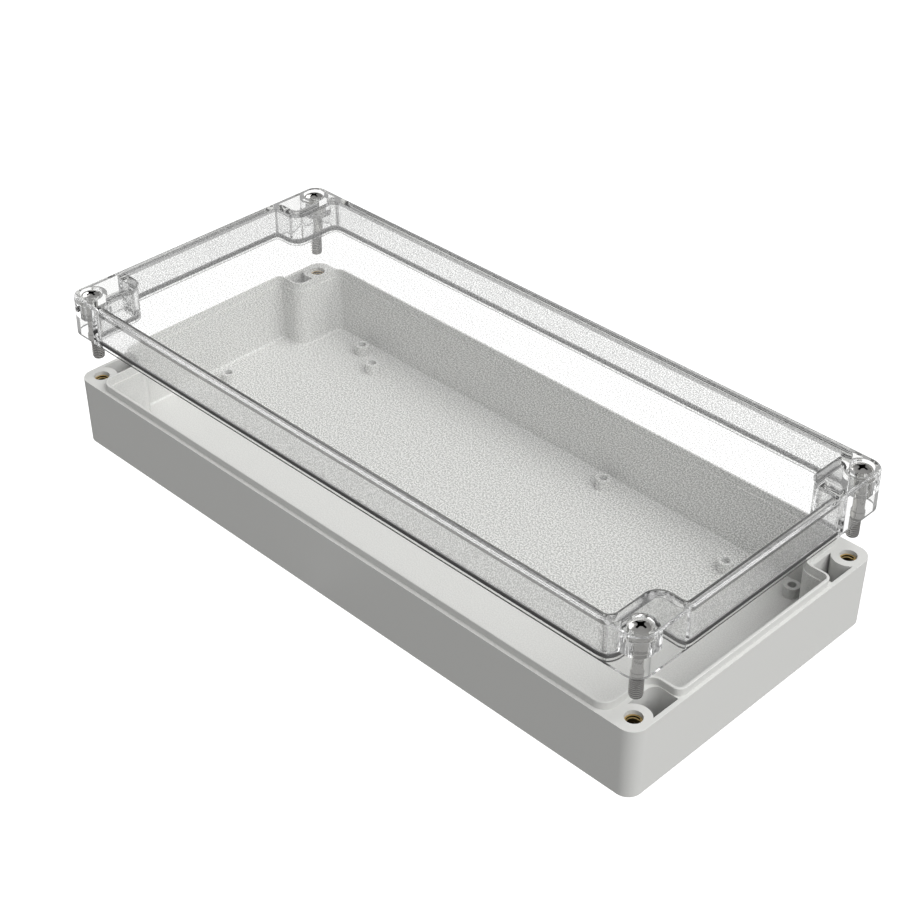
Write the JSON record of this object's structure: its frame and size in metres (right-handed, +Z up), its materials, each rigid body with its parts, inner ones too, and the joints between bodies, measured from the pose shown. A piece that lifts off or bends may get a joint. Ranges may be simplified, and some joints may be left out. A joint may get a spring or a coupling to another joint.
{
  "type": "electronics enclosure",
  "caption": "Long flat grey enclosure with a clear lift-off lid on captive corner screws, tongue-and-groove seal and board standoffs.",
  "frame": {"origin": "middle of the base's flat underside", "axes": "+X along the long side, +Y across to the rear long side, +Z up through the lid"},
  "size_m": [0.36, 0.16, 0.0841],
  "materials": {
    "base_plastic": "light grey polycarbonate, fine grain inside",
    "clear_lid": "clear polycarbonate, fine grain on the inner walls",
    "gasket_rubber": "dark foam rubber",
    "screw_steel": "stainless steel",
    "insert_brass": "turned brass"
  },
  "bodies": {
    "base": {"base_shell": "base_plastic", "insert_front_left": "insert_brass", "insert_front_right": "insert_brass", "insert_rear_right": "insert_brass", "insert_rear_left": "insert_brass"},
    "lid": {"lid_shell": "clear_lid", "lid_gasket": "gasket_rubber"},
    "screw_front_left": {"lid_screw_front_left": "screw_steel"},
    "screw_front_right": {"lid_screw_front_right": "screw_steel"},
    "screw_rear_right": {"lid_screw_rear_right": "screw_steel"},
    "screw_rear_left": {"lid_screw_rear_left": "screw_steel"}
  },
  "joints": [
    {"name": "lid_lift", "type": "slide", "parent": "base", "child": "lid", "axis": [0, 0, 1], "range_m": [-0.0241, 0.06]},
    {"name": "screw_front_left_turn", "type": "hinge", "parent": "lid", "child": "screw_front_left", "pos_m": [-0.17225, -0.07135, 0.0796], "axis": [0, 0, 1], "continuous": true},
    {"name": "screw_front_right_turn", "type": "hinge", "parent": "lid", "child": "screw_front_right", "pos_m": [0.17225, -0.07135, 0.0796], "axis": [0, 0, 1], "continuous": true},
    {"name": "screw_rear_right_turn", "type": "hinge", "parent": "lid", "child": "screw_rear_right", "pos_m": [0.17225, 0.07135, 0.0796], "axis": [0, 0, 1], "continuous": true},
    {"name": "screw_rear_left_turn", "type": "hinge", "parent": "lid", "child": "screw_rear_left", "pos_m": [-0.17225, 0.07135, 0.0796], "axis": [0, 0, 1], "continuous": true}
  ]
}
